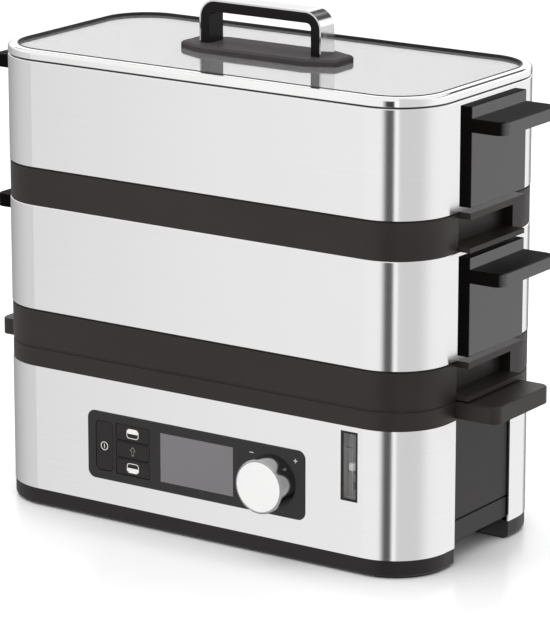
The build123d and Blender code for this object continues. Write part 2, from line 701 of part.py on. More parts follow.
def knob_face():
    """Satin metal disc on the front of the knob."""
    radius = KNOB_R - KNOB_WALL
    return front_disc(KNOB_X, PANEL_Z, radius, -KNOB_PROUD, -KNOB_PROUD + KNOB_FACE_T)


# ================================================================ water level gauge
def gauge_housing():
    """Narrow float chamber with its spout into the basin."""
    housing = front_box(GAUGE_X, GAUGE_Z, GAUGE_W, GAUGE_H, 0, GAUGE_T)
    housing += front_box(GAUGE_X, GAUGE_Z, GAUGE_W + 2 * GAUGE_FLANGE,
                         GAUGE_H + 2 * GAUGE_FLANGE, STEEL_T, STEEL_T + GAUGE_FLANGE_T)
    housing -= front_box(GAUGE_X, GAUGE_Z, GAUGE_W - 2 * GAUGE_FRAME,
                         GAUGE_H - 2 * GAUGE_FRAME, 0, GAUGE_T - GAUGE_FRAME)
    spout_end = BASIN_INSET + STEEL_T
    housing += level_spout_rod(LEVEL_SPOUT_R, GAUGE_T, spout_end)
    return housing - level_spout_rod(LEVEL_SPOUT_BORE, GAUGE_T - GAUGE_FRAME, spout_end)


def gauge_window():
    """Smoked window of the gauge."""
    return front_box(GAUGE_X, GAUGE_Z, GAUGE_W - 2 * GAUGE_FRAME,
                     GAUGE_H - 2 * GAUGE_FRAME, GAUGE_WINDOW_DEPTH, GAUGE_WINDOW_T)


def gauge_guide():
    """Upright wire for the float, with the collar on which the float rests."""
    y = FRONT_Y + FLOAT_DEPTH
    low = GAUGE_BOTTOM + GAUGE_FRAME
    high = GAUGE_TOP - GAUGE_FRAME
    collar_top = FLOAT_Z - FLOAT_R
    return post(GAUGE_X, y, GUIDE_R, low, high) + post(GAUGE_X, y, STOP_R,
                                                       collar_top - STOP_H, collar_top)


def gauge_float():
    """Small float with a hole for the guide wire and flat ends."""
    y = FRONT_Y + FLOAT_DEPTH
    body = Pos(GAUGE_X, y, FLOAT_Z) * Cylinder(FLOAT_R, 2 * FLOAT_R)
    body = fillet(body.edges(), FLOAT_ROUND * FLOAT_R)
    bore = GUIDE_R + FLOAT_BORE_PLAY
    return body - post(GAUGE_X, y, bore, FLOAT_Z - FLOAT_R, FLOAT_Z + FLOAT_R)


# ================================================================ drip tray and baskets
def drip_tray():
    """Removable tray over the basin, with two steam ports."""
    flange_low = BASIN_TOP
    flange_top = flange_low + TRAY_T
    wall_inner = TRAY_WALL_INSET + TRAY_T
    floor_low = flange_top - TRAY_DEPTH
    tray = ring(WEB_W - SEAL_W + TRAY_LAP, wall_inner, flange_low, flange_top)
    tray += ring(TRAY_WALL_INSET, wall_inner, floor_low, flange_top)
    tray += slab(TRAY_WALL_INSET, floor_low, floor_low + TRAY_T)
    for x in (-STEAM_PORT_X, STEAM_PORT_X):
        tray += post(x, 0, STEAM_PORT_R, floor_low, flange_low + STEAM_PORT_H)
    for x in (-STEAM_PORT_X, STEAM_PORT_X):
        tray -= post(x, 0, STEAM_PORT_R - TRAY_T, floor_low, flange_low + STEAM_PORT_H)
    return tray


def channel_side():
    """Material added at the right-hand end of a band: back wall and two flanges."""
    back_x = SIDE_X - CHANNEL_BACK
    front_x = SIDE_X + BRACKET_T
    wall = block(back_x, SIDE_X - BAND_STEP, -PART_HALF - PLASTIC_T, PART_HALF + PLASTIC_T,
                 0, BAND_H)
    lower = block(back_x, front_x, -PART_HALF, PART_HALF, 0, CHANNEL_BOTTOM_T)
    upper = block(back_x, front_x, -PART_HALF, PART_HALF, BAND_H - CHANNEL_TOP_T, BAND_H)
    return wall + lower + upper


def channel_cut():
    """Finger channel between the two flanges at the right-hand end of a band."""
    return block(SIDE_X - CHANNEL_DEPTH, SIDE_X + BRACKET_T, -PART_HALF, PART_HALF,
                 CHANNEL_BOTTOM_T, BAND_H - CHANNEL_TOP_T)


def band():
    """Black lower part of a basket, with the grid ledge and the locating spigot."""
    spigot_inner = SPIGOT_INSET + SPIGOT_T
    collar_inset = STEEL_T + FIT
    joint_inset = BAND_INNER - PLASTIC_T / 2
    body = ring(BAND_STEP, BAND_INNER, 0, BAND_H - SEAM_H, bottom_r=EDGE_R)
    body += ring(SEAM_DEPTH, BAND_INNER, BAND_H - SEAM_H, BAND_H)
    body += ring(joint_inset, spigot_inner, 0, PLASTIC_T)
    body += ring(SPIGOT_INSET, spigot_inner, -SPIGOT_H, 0)
    body += ring(joint_inset, GRID_INSET + LEDGE_W, LEDGE_DROP, LEDGE_DROP + PLASTIC_T)
    body += ring(collar_inset, collar_inset + COLLAR_T, BAND_H - SEAM_H, BAND_H + COLLAR_H)
    body += both_ends(channel_side())
    return body - both_ends(channel_cut())


def handle_screw_points():
    """End-view (y, z) positions of the screws of one bracket."""
    z = BAND_H + SLEEVE_H / 2
    reach = SIDE_HALF * HANDLE_SCREW_SHARE
    return [(-reach, z), (reach, z)]


def sleeve():
    """Steel wall of a basket with an inward hem at the top and screw holes at its ends."""
    wall = ring(0, STEEL_T, BAND_H, TIER_H, top_r=HEM_R)
    wall += ring(HEM_R, LIP_W, TIER_H - STEEL_T, TIER_H)
    for y, z in handle_screw_points():
        wall -= side_rod(-SIDE_X, SIDE_X, y, z, HANDLE_SCREW_R + SCREW_PLAY)
    return wall


def handle():
    """Bracket and grip at the right-hand end of a basket, hollow behind."""
    bottom = BAND_H + BRACKET_BOTTOM_GAP
    top = TIER_H - BRACKET_TOP_GAP
    outer_x = SIDE_X + BRACKET_T
    bracket = block(SIDE_X, outer_x, -PART_HALF, PART_HALF, bottom, top)
    bracket = fillet(bracket.faces().sort_by(Axis.X)[-1].edges(), EDGE_R)
    pocket_x = outer_x - PLASTIC_T
    bracket -= block(SIDE_X, pocket_x, -PART_HALF + PLASTIC_T, PART_HALF - PLASTIC_T,
                     bottom + PLASTIC_T, top - PLASTIC_T)
    grip_top = TIER_H - GRIP_DROP
    tongue = block(pocket_x, outer_x + GRIP_L, -SIDE_HALF, SIDE_HALF,
                   grip_top - GRIP_T, grip_top)
    tongue = fillet(tongue.edges().filter_by(Axis.Z).group_by(Axis.X)[-1], GRIP_CORNER_R)
    tongue = chamfer(tongue.faces().sort_by(Axis.Z)[-1].edges(), EDGE_R)
    bracket += tongue
    for y, z in handle_screw_points():
        bracket += side_rod(SIDE_X, pocket_x, y, z, HANDLE_SCREW_HEAD_R)
        bracket -= side_rod(SIDE_X, pocket_x, y, z, HANDLE_SCREW_R + SCREW_PLAY)
    return bracket


def handle_screws():
    """Screws that hold both brackets, with their heads inside the basket."""
    inner_x = SIDE_X - STEEL_T
    end_x = SIDE_X + BRACKET_T - PLASTIC_T - SCREW_PLAY
    screws = Part()
    for y, z in handle_screw_points():
        screws += side_rod(inner_x - HANDLE_SCREW_HEAD_H, inner_x, y, z, HANDLE_SCREW_HEAD_R)
        screws += side_rod(inner_x, end_x, y, z, HANDLE_SCREW_R)
    return both_ends(screws)


def grid():
    """Perforated tray that carries the food, resting on the band's ledge."""
    low = LEDGE_DROP + PLASTIC_T
    slot_area = outline(GRID_INSET + GRID_BORDER)
    columns = int((BODY_W - 2 * (GRID_INSET + GRID_BORDER)) // SLOT_PITCH_X)
    rows = int((BODY_D - 2 * (GRID_INSET + GRID_BORDER)) // SLOT_PITCH_Y)
    places = GridLocations(SLOT_PITCH_X, SLOT_PITCH_Y, columns, rows)
    slots = Sketch(children=places * SlotOverall(SLOT_L, SLOT_W))
    plate = outline(GRID_INSET) - (slot_area & slots)
    tray = extrude(Pos(0, 0, low) * plate, amount=GRID_T)
    return tray + ring(GRID_INSET, GRID_INSET + GRID_T, low, low + GRID_RIM_H)


# ================================================================ lid
def lid_glass():
    """Glass pane with two holes for the handle screws."""
    glass = slab(GLASS_INSET, GLASS_BOTTOM, GLASS_TOP)
    for x in (-LID_SCREW_X, LID_SCREW_X):
        glass -= post(x, 0, LID_SCREW_R + GLASS_HOLE_PLAY, GLASS_BOTTOM, GLASS_TOP)
    return glass


def lid_rim():
    """Polished steel rim folded round the edge of the glass."""
    rim = slab(0, RIM_BOTTOM, LID_TOP, top_r=LID_EDGE_R, bottom_r=EDGE_R / 2)
    rim -= slab(LID_LIP_W, GLASS_TOP, LID_TOP)
    rim -= slab(GLASS_INSET - FIT, GLASS_BOTTOM, GLASS_TOP)
    return rim - slab(SPIGOT_INSET, RIM_BOTTOM, GLASS_BOTTOM)


def lid_bead():
    """Dark silicone bead between the rim's inner edge and the glass."""
    return ring(LID_LIP_W, LID_LIP_W + BEAD_W, GLASS_TOP, GLASS_TOP + BEAD_H)


def lid_gasket():
    """Silicone gasket under the rim and the glass, with a lip inside the upper sleeve."""
    gasket_inner = SPIGOT_INSET + GASKET_W
    gasket = ring(GASKET_INSET, gasket_inner, LID_BOTTOM, RIM_BOTTOM)
    gasket += ring(SPIGOT_INSET, gasket_inner, RIM_BOTTOM, GLASS_BOTTOM)
    return gasket + ring(SPIGOT_INSET, SPIGOT_INSET + GASKET_LIP_T,
                         LID_BOTTOM - GASKET_LIP_H, LID_BOTTOM)


def lid_handle_plate():
    """Foot of the lid handle: a long plate with tapered ends."""
    x = PLATE_L / 2
    y = PLATE_D / 2
    corner = [(x, y - PLATE_TAPER_Y), (x - PLATE_TAPER_X, y)]
    right = corner + [(px, -py) for px, py in reversed(corner)]
    points = right[:2] + [(-px, py) for px, py in reversed(right[:2])]
    points += [(-px, py) for px, py in reversed(right[2:])] + right[2:]
    plan = make_face(Polyline(*points, close=True))
    plan = fillet(plan.vertices(), PLATE_CORNER_R)
    plate = extrude(Pos(0, 0, GLASS_TOP) * plan, amount=PLATE_T)
    plate = chamfer(plate.faces().sort_by(Axis.Z)[-1].edges(), PLATE_BEVEL)
    for screw_x in (-LID_SCREW_X, LID_SCREW_X):
        plate -= post(screw_x, 0, LID_SCREW_R + SCREW_PLAY, GLASS_TOP, PLATE_TOP)
    return plate


def arch_shape(half_length, height, corner_r, depth):
    """Upright solid arch outline standing on the plate."""
    face = Pos(0, PLATE_TOP + height / 2) * Rectangle(2 * half_length, height)
    face = fillet(face.vertices().group_by(Axis.Y)[-1], corner_r)
    return extrude(Plane.XZ * face, amount=depth / 2, both=True)


def lid_handle_arch():
    """Black bow of the lid handle."""
    half = ARCH_L / 2
    bow = arch_shape(half, ARCH_H, ARCH_R, ARCH_D)
    bow -= arch_shape(half - ARCH_T, ARCH_H - ARCH_T, ARCH_INNER_R, ARCH_D)
    for x in (-LID_SCREW_X, LID_SCREW_X):
        bow -= post(x, 0, LID_SCREW_R + SCREW_PLAY, PLATE_TOP, LID_SCREW_TOP)
    return bow


def lid_handle_strip():
    """Polished strip bent over the outside of the bow."""
    half = ARCH_L / 2
    outer = arch_shape(half + STRIP_T, ARCH_H + STRIP_T, ARCH_R + STRIP_T, ARCH_D)
    return outer - arch_shape(half, ARCH_H, ARCH_R, ARCH_D)


def lid_screws():
    """Screws from under the glass into the handle."""
    screws = Part()
    head_top = GLASS_BOTTOM - WASHER_T
    for x in (-LID_SCREW_X, LID_SCREW_X):
        screws += post(x, 0, LID_SCREW_HEAD_R, head_top - LID_SCREW_HEAD_H, head_top)
        screws += post(x, 0, LID_SCREW_R, head_top, LID_SCREW_TOP - SCREW_PLAY)
    return screws


def lid_washers():
    """Silicone washers between the screw heads and the glass."""
    washers = Part()
    low = GLASS_BOTTOM - WASHER_T
    for x in (-LID_SCREW_X, LID_SCREW_X):
        washers += post(x, 0, WASHER_R, low, GLASS_BOTTOM)
        washers -= post(x, 0, LID_SCREW_R + SCREW_PLAY, low, GLASS_BOTTOM)
    return washers


# ================================================================ write every node
def save_base():
    """Write the base, its electrics and its controls."""
    save(base_pan(), "base_pan")
    save(rubber_feet(), "rubber_feet")
    save(pan_screws(), "pan_screws")
    save(base_front_shell(), "base_front_shell")
    save(base_rear_shell(), "base_rear_shell")
    save(base_side_panel(), "base_side_panel_right")
    save(mirror_x(base_side_panel()), "base_side_panel_left")
    save(base_rim(), "base_rim")
    save(boiler_basin(), "boiler_basin")
    save(basin_seal(), "basin_seal")
    save(heating_element(), "heating_element")
    save(thermostat(), "thermostat")
    save(power_board(), "power_board")
    save(power_components(), "power_components")
    save(board_screws(), "board_screws")
    save(cord_gland(), "cord_gland")


def save_controls():
    """Write the control panel, the knob and the level gauge."""
    save(control_bezel(), "control_bezel")
    for name, x, z, width, height, radius in KEYS:
        save(key(x, z, width, height, radius), name)
    save(key_switches(), "key_switches")
    save(display_lens(), "display_lens")
    save(display_module(), "display_module")
    save(control_board(), "control_board")
    save(rotary_encoder(), "rotary_encoder")
    save(encoder_shaft(), "encoder_shaft")
    save(knob_core(), "knob_core")
    save(knob_sleeve(), "knob_sleeve")
    save(knob_face(), "knob_face")
    save(gauge_housing(), "gauge_housing")
    save(gauge_window(), "gauge_window")
    save(gauge_guide(), "gauge_guide")
    save(gauge_float(), "gauge_float")


def save_baskets():
    """Write the lower and the upper basket, which have the same pieces."""
    pieces = {
        "band": band(),
        "sleeve": sleeve(),
        "handle_right": handle(),
        "handle_left": mirror_x(handle()),
        "handle_screws": handle_screws(),
        "grid": grid(),
    }
    for tier, low in (("lower", RIM_TOP), ("upper", RIM_TOP + TIER_H)):
        for name, piece in pieces.items():
            save(Pos(0, 0, low) * piece, f"{tier}_{name}")


def save_lid():
    """Write the glass lid and its handle."""
    save(lid_glass(), "lid_glass")
    save(lid_rim(), "lid_rim")
    save(lid_bead(), "lid_bead")
    save(lid_gasket(), "lid_gasket")
    save(lid_handle_plate(), "lid_handle_plate")
    save(lid_handle_arch(), "lid_handle_arch")
    save(lid_handle_strip(), "lid_handle_strip")
    save(lid_screws(), "lid_screws")
    save(lid_washers(), "lid_washers")


os.makedirs("parts", exist_ok=True)
save_base()
save_controls()
save(drip_tray(), "drip_tray")
save_baskets()
save_lid()
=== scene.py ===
"""Finished look of an electric food steamer with stacked baskets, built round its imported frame."""

from __future__ import annotations

import logging
import math
from dataclasses import dataclass
from enum import Enum
from typing import Callable, Sequence, Union

import bmesh
import bpy
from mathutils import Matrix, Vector


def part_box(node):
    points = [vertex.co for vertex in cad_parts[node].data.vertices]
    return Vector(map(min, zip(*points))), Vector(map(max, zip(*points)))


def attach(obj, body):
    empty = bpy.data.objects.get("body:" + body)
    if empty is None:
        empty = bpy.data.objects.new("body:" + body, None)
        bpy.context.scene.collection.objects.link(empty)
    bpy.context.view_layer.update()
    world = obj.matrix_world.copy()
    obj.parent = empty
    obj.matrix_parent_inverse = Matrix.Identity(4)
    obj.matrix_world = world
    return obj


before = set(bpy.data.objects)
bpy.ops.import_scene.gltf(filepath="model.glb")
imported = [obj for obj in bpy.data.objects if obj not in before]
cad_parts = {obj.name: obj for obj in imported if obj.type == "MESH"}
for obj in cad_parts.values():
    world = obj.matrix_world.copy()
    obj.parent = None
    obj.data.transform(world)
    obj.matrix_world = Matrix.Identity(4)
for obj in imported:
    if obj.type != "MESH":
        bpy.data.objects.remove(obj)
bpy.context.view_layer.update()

LOG = logging.getLogger("steamer")
MM = 0.001
ALONG_THE_BRUSH = 0.25     # anisotropic rotation that stretches highlights across the lines
LIP_CORNER_STEPS = 16
SENSOR_WIDTH = 36.0
CLIP_END = 50.0
Colour = tuple[float, float, float]
Point2 = tuple[float, float]


# ---------------------------------------------------------------- shader building blocks
class Signal:
    """A shader socket that takes part in ordinary arithmetic."""

    def __init__(self, tree: ShaderTree, socket: bpy.types.NodeSocket) -> None:
        """Wrap a socket.

        Args:
            tree: The tree that new nodes are added to.
            socket: The output socket to wrap.
        """
        self.tree = tree
        self.socket = socket

    def _math(self, operation: str, *others: Value) -> Signal:
        """Add a Math node that starts from this signal."""
        return self.tree.math(operation, self, *others)

    def __add__(self, other: Value) -> Signal:
        """Return self + other."""
        return self._math("ADD", other)

    __radd__ = __add__

    def __sub__(self, other: Value) -> Signal:
        """Return self - other."""
        return self._math("SUBTRACT", other)

    def __rsub__(self, other: Value) -> Signal:
        """Return other - self."""
        return self.tree.math("SUBTRACT", other, self)

    def __mul__(self, other: Value) -> Signal:
        """Return self * other."""
        return self._math("MULTIPLY", other)

    __rmul__ = __mul__

    def __neg__(self) -> Signal:
        """Return -self."""
        return self._math("MULTIPLY", -1.0)

    def size(self) -> Signal:
        """Return the absolute value."""
        return self._math("ABSOLUTE")


Value = Union[Signal, float]


class ShaderTree:
    """A node tree under construction, of a material or of the world."""

    def __init__(self, node_tree: bpy.types.NodeTree) -> None:
        """Start from an empty tree.

        Args:
            node_tree: The tree to fill.
        """
        self.tree = node_tree
        self.tree.nodes.clear()

    def add(self, kind: str, settings: dict[str, object] | None = None,
            sockets: dict[Union[str, int], object] | None = None) -> bpy.types.Node:
        """Add one node.

        Args:
            kind: The node's type name.
            settings: Properties of the node, set before its sockets.
            sockets: Values or signals for its inputs, by name or by place.

        Returns:
            The new node.
        """
        node = self.tree.nodes.new(kind)
        for name, value in (settings or {}).items():
            setattr(node, name, value)
        for name, value in (sockets or {}).items():
            if isinstance(value, Signal):
                self.tree.links.new(value.socket, node.inputs[name])
            else:
                node.inputs[name].default_value = value
        return node

    def output(self, node: bpy.types.Node, name: Union[str, int] = 0) -> Signal:
        """Return one output of a node as a signal."""
        return Signal(self, node.outputs[name])

    def math(self, operation: str, *operands: Value) -> Signal:
        """Add a Math node and return its result."""
        node = self.add("ShaderNodeMath", {"operation": operation}, dict(enumerate(operands)))
        return self.output(node)

    def place(self) -> Signal:
        """Return the surface point in the piece's own frame, in metres."""
        return self.output(self.add("ShaderNodeTexCoord"), "Object")

    def scaled_place(self, scale: Colour) -> Signal:
        """Return the surface point with each axis multiplied by its own factor."""
        node = self.add("ShaderNodeVectorMath", {"operation": "MULTIPLY"},
                        {0: self.place(), 1: scale})
        return self.output(node)

    def split(self, vector: Signal) -> tuple[Signal, Signal, Signal]:
        """Return the x, y and z of a vector signal."""
        node = self.add("ShaderNodeSeparateXYZ", None, {0: vector})
        return self.output(node, 0), self.output(node, 1), self.output(node, 2)

    def axes(self) -> tuple[Signal, Signal, Signal]:
        """Return the surface point's x, y and z, in metres."""
        return self.split(self.place())

    def facing(self) -> tuple[Signal, Signal, Signal]:
        """Return the surface's own direction along x, y and z."""
        return self.split(self.output(self.add("ShaderNodeTexCoord"), "Normal"))

    def noise(self, scale: Colour, detail: float = 3.0, roughness: float = 0.55) -> Signal:
        """Return smooth noise of 0..1 with its own scale along each axis.

        Args:
            scale: Cycles per metre along x, y and z.
            detail: Number of finer layers.
            roughness: Strength of the finer layers.

        Returns:
            The noise value.
        """
        node = self.add("ShaderNodeTexNoise", {"noise_dimensions": "3D"},
                        {"Vector": self.scaled_place(scale), "Scale": 1.0,
                         "Detail": detail, "Roughness": roughness})
        return self.output(node, "Fac")

    def ramp(self, signal: Value, low: float, high: float,
             start: float = 0.0, end: float = 1.0) -> Signal:
        """Return a smooth step of the signal, from start at low to end at high."""
        settings = {"interpolation_type": "SMOOTHSTEP"}
        sockets = {0: signal, 1: low, 2: high, 3: start, 4: end}
        return self.output(self.add("ShaderNodeMapRange", settings, sockets))

    def blend(self, factor: Value, first: object, second: object) -> Signal:
        """Return a colour between two colours.

        Args:
            factor: 0 gives the first colour and 1 the second.
            first: A colour or a signal.
            second: A colour or a signal.

        Returns:
            The mixed colour.
        """
        node = self.add("ShaderNodeMix", {"data_type": "RGBA"},
                        {0: factor, 6: with_alpha(first), 7: with_alpha(second)})
        return self.output(node, 2)

    def bump(self, height: Signal, depth: float, strength: float = 1.0) -> Signal:
        """Return a normal bent by a height signal.

        Args:
            height: The height, 0..1.
            depth: The height of 1, in metres.
            strength: How much of the effect is used.

        Returns:
            The normal.
        """
        node = self.add("ShaderNodeBump", None,
                        {"Height": height, "Distance": depth, "Strength": strength})
        return self.output(node)

    def surface(self, sockets: dict[Union[str, int], object]) -> None:
        """Add the Principled shader and wire it to the material's output."""
        shader = self.add("ShaderNodeBsdfPrincipled", None, sockets)
        self.add("ShaderNodeOutputMaterial", None, {"Surface": self.output(shader)})


def with_alpha(colour: object) -> object:
    """Give a plain colour its fourth value and pass a signal through."""
    if isinstance(colour, Signal):
        return colour
    return (*colour, 1.0)


def new_material(name: str) -> tuple[bpy.types.Material, ShaderTree]:
    """Make an empty node material and its tree."""
    material = bpy.data.materials.new(name)
    material.use_nodes = True
    return material, ShaderTree(material.node_tree)


# ---------------------------------------------------------------- finishes
class Grain(Enum):
    """Direction of the brush lines on a metal surface, as noise cycles per metre."""

    ROUND_THE_BODY = (1.6, 1.6, 3600.0)
    ALONG_X = (6.0, 1800.0, 1800.0)
    UPRIGHT = (1800.0, 1800.0, 6.0)


@dataclass(frozen=True)
class BrushedSteel:
    """Sheet steel with fine brush lines, faint clouding and a few longer scratches."""

    name: str = "steel_brushed"
    colour: Colour = (0.856, 0.853, 0.857)
    grain: Grain = Grain.ROUND_THE_BODY
    roughness: float = 0.22
    stretch: float = 0.88
    line_depth: float = 0.000003

    def make(self) -> bpy.types.Material:
        """Build the material."""
        material, tree = new_material(self.name)
        fine = tree.noise(self.grain.value, 3.0, 0.7)
        broad = tree.noise(tuple(c * 0.3 for c in self.grain.value), 2.0, 0.5)
        cloud = tree.noise((7.0, 7.0, 5.0), 2.0)
        lines = fine * 0.7 + broad * 0.3
        dark = tuple(c * 0.95 for c in self.colour)
        tone = tree.blend(tree.ramp(lines, 0.3, 0.7), dark, self.colour)
        shaded = tree.blend(tree.ramp(cloud, 0.35, 0.7) * 0.3, tone, dark)
        rough = self.roughness + (lines - 0.5) * 0.05 + (cloud - 0.5) * 0.03
        tree.surface({
            "Base Color": shaded,
            "Metallic": 1.0,
            "Roughness": rough,
            "Anisotropic": self.stretch,
            "Anisotropic Rotation": ALONG_THE_BRUSH,
            "Normal": tree.bump(lines, self.line_depth, 0.3),
        })
        return material


@dataclass(frozen=True)
class PolishedSteel:
    """Mirror-polished metal with faint wipe marks."""

    name: str = "steel_polished"
    colour: Colour = (0.9, 0.9, 0.895)
    roughness: float = 0.07

    def make(self) -> bpy.types.Material:
        """Build the material."""
        material, tree = new_material(self.name)
        wipe = tree.noise((55.0, 210.0, 90.0), 4.0, 0.6)
        cloud = tree.noise((20.0, 20.0, 20.0), 1.0)
        dark = tuple(c * 0.955 for c in self.colour)
        tree.surface({
            "Base Color": tree.blend(tree.ramp(cloud, 0.3, 0.7), dark, self.colour),
            "Metallic": 1.0,
            "Roughness": self.roughness + tree.ramp(wipe, 0.5, 0.8) * 0.07,
            "Normal": tree.bump(wipe, 0.000004, 0.3),
        })
        return material


@dataclass(frozen=True)
class TurnedFace:
    """Satin metal disc with fine rings left by turning, round an axis along y."""

    centre: Vector
    name: str = "knob_face_satin"
    colour: Colour = (0.92, 0.92, 0.915)
    rings_per_metre: float = 5200.0

    def make(self) -> bpy.types.Material:
        """Build the material."""
        material, tree = new_material(self.name)
        x, _, z = tree.axes()
        across, up = x - self.centre.x, z - self.centre.z
        radius = tree.math("SQRT", across * across + up * up)
        rings = tree.math("SINE", radius * self.rings_per_metre) * 0.5 + 0.5
        cloud = tree.noise((90.0, 90.0, 90.0), 3.0)
        dark = tuple(c * 0.95 for c in self.colour)
        tree.surface({
            "Base Color": tree.blend(rings * 0.6, self.colour, dark),
            "Metallic": 0.55,
            "Roughness": 0.36 + (cloud - 0.5) * 0.1 + rings * 0.05,
            "Normal": tree.bump(rings, 0.000006, 0.35),
        })
        return material


@dataclass(frozen=True)
class MouldedPlastic:
    """Moulded plastic with spark-eroded grain, flow clouding and wear on grazed spots."""

    name: str
    colour: Colour = (0.017, 0.0125, 0.0118)
    roughness: float = 0.42
    grain_depth: float = 0.00003
    grain_per_metre: float = 2400.0
    coat: float = 0.0
    specular: float = 0.28

    def make(self) -> bpy.types.Material:
        """Build the material."""
        material, tree = new_material(self.name)
        grain = tree.noise((self.grain_per_metre,) * 3, 2.0, 0.6)
        flow = tree.noise((9.0, 9.0, 26.0), 3.0)
        rub = tree.ramp(tree.noise((70.0, 70.0, 160.0), 5.0, 0.7), 0.62, 0.8)
        light = tuple(min(1.0, c * 1.22 + 0.001) for c in self.colour)
        tone = tree.blend(tree.ramp(flow, 0.3, 0.75), self.colour, light)
        tree.surface({
            "Base Color": tree.blend(rub * 0.25, tone, tuple(c * 1.5 for c in light)),
            "Roughness": self.roughness + (flow - 0.5) * 0.08 - rub * 0.06,
            "Specular IOR Level": self.specular,
            "Coat Weight": self.coat,
            "Coat Roughness": 0.12,
            "Normal": tree.bump(grain, self.grain_depth, 0.4),
        })
        return material


@dataclass(frozen=True)
class GripPlastic:
    """Black plastic that is matt on top and glossy on its sides that face along x."""

    name: str = "plastic_grip"
    colour: Colour = (0.0035, 0.0028, 0.0027)
    roughness: float = 0.36
    shine: float = 0.9

    def make(self) -> bpy.types.Material:
        """Build the material."""
        material, tree = new_material(self.name)
        across, _, _ = tree.facing()
        sides = tree.ramp(across.size(), 0.5, 0.85)
        grain = tree.noise((2400.0, 2400.0, 2400.0), 2.0, 0.6)
        flow = tree.noise((9.0, 26.0, 9.0), 3.0)
        rub = tree.ramp(tree.noise((80.0, 60.0, 140.0), 5.0, 0.7), 0.6, 0.8)
        light = tuple(c * 1.3 + 0.0005 for c in self.colour)
        tone = tree.blend(tree.ramp(flow, 0.3, 0.75), self.colour, light)
        tree.surface({
            "Base Color": tree.blend(rub * 0.3, tone, tuple(c * 1.6 for c in light)),
            "Roughness": self.roughness + (flow - 0.5) * 0.08 - rub * 0.06,
            "Specular IOR Level": 0.005,
            "Coat Weight": sides * self.shine - rub * 0.1,
            "Coat IOR": 1.85,
            "Coat Roughness": 0.22,
            "Normal": tree.bump(grain, 0.000015, 0.4),
        })
        return material


@dataclass(frozen=True)
class ClearGlass:
    """Tinted pane, lightly marked by wiping, with an optional milky share: diffuse white that is
    painted light in place of the lit inside seen through the pane.
    """

    name: str
    colour: Colour = (0.965, 0.975, 0.97)
    roughness: float = 0.015
    ior: float = 1.5
    # share of diffuse white: painted light standing in for the lit inside seen through the pane
    milky_painted_light: float = 0.0

    def make(self) -> bpy.types.Material:
        """Build the material."""
        material, tree = new_material(self.name)
        wipe = tree.ramp(tree.noise((26.0, 95.0, 60.0), 4.0, 0.65), 0.52, 0.85)
        tree.surface({
            "Base Color": tree.blend(wipe, self.colour, tuple(c * 0.985 for c in self.colour)),
            "Roughness": self.roughness + wipe * 0.03,
            "IOR": self.ior,
            # the milky share left out of transmission is painted light, diffuse white in place of the
            # lit inside
            "Transmission Weight": 1.0 - self.milky_painted_light,
        })
        return material


@dataclass(frozen=True)
class DisplayGlass:
    """Unlit grey liquid-crystal window: a flat grey with a faint pixel grid under a coat."""

    name: str = "display_grey"
    colour: Colour = (0.15, 0.142, 0.15)
    cells_per_metre: float = 2600.0

    def make(self) -> bpy.types.Material:
        """Build the material."""
        material, tree = new_material(self.name)
        x, _, z = tree.axes()
        columns = tree.math("SINE", x * self.cells_per_metre * math.tau)
        rows = tree.math("SINE", z * self.cells_per_metre * math.tau)
        cells = tree.ramp(columns * rows, -0.2, 0.9)
        cloud = tree.noise((30.0, 30.0, 45.0), 2.0)
        dark = tuple(c * 0.9 for c in self.colour)
        tone = tree.blend(cells * 0.3, self.colour, dark)
        tree.surface({
            "Base Color": tree.blend(tree.ramp(cloud, 0.3, 0.7) * 0.4, tone, dark),
            "Roughness": 0.34 + (cloud - 0.5) * 0.08,
            "Coat Weight": 0.4,
            "Coat Roughness": 0.06,
            "Normal": tree.bump(cells, 0.000002, 0.2),
        })
        return material


@dataclass(frozen=True)
class SmokedWindow:
    """Smoked see-through window whose tint is a little uneven."""

    name: str = "gauge_smoke"
    colour: Colour = (0.15, 0.145, 0.145)
    cover: float = 0.16

    def make(self) -> bpy.types.Material:
        """Build the material."""
        material, tree = new_material(self.name)
        cloud = tree.noise((150.0, 150.0, 60.0), 2.0)
        tree.surface({
            "Base Color": tree.blend(cloud, self.colour, tuple(c * 1.2 for c in self.colour)),
            "Roughness": 0.12 + cloud * 0.05,
            "Alpha": self.cover + (cloud - 0.5) * 0.06,
            "Coat Weight": 0.5,
        })
        return material


@dataclass(frozen=True)
class GaugeHousing:
    """Black frame whose recess turns light grey below the front edge."""

    face_y: float
    name: str = "gauge_two_tone"
    frame_depth: float = 1.2 * MM
    recess_depth: float = 1.6 * MM
    frame_colour: Colour = (0.008, 0.007, 0.007)
    recess_colour: Colour = (0.38, 0.37, 0.365)

    def make(self) -> bpy.types.Material:
        """Build the material."""
        material, tree = new_material(self.name)
        _, y, _ = tree.axes()
        depth = tree.ramp(y, self.face_y + self.frame_depth, self.face_y + self.recess_depth)
        grain = tree.noise((1500.0, 1500.0, 1500.0), 2.0)
        cloud = tree.noise((60.0, 60.0, 60.0), 2.0)
        tree.surface({
            "Base Color": tree.blend(depth, self.frame_colour, self.recess_colour),
            "Roughness": 0.35 + (cloud - 0.5) * 0.1,
            "Specular IOR Level": 0.3,
            "Normal": tree.bump(grain, 0.000004, 0.3),
        })
        return material


@dataclass(frozen=True)
class CircuitBoard:
    """Green solder mask with rows of tracks."""

    name: str = "board_green"
    colour: Colour = (0.012, 0.12, 0.045)

    def make(self) -> bpy.types.Material:
        """Build the material."""
        material, tree = new_material(self.name)
        x, _, z = tree.axes()
        tracks = tree.ramp(tree.math("SINE", (x + z) * 1900.0), 0.6, 0.8)
        tree.surface({
            "Base Color": tree.blend(tracks, self.colour, (0.03, 0.2, 0.08)),
            "Roughness": 0.38 + tracks * 0.1,
            "Normal": tree.bump(tracks, 0.00003, 0.5),
        })
        return material


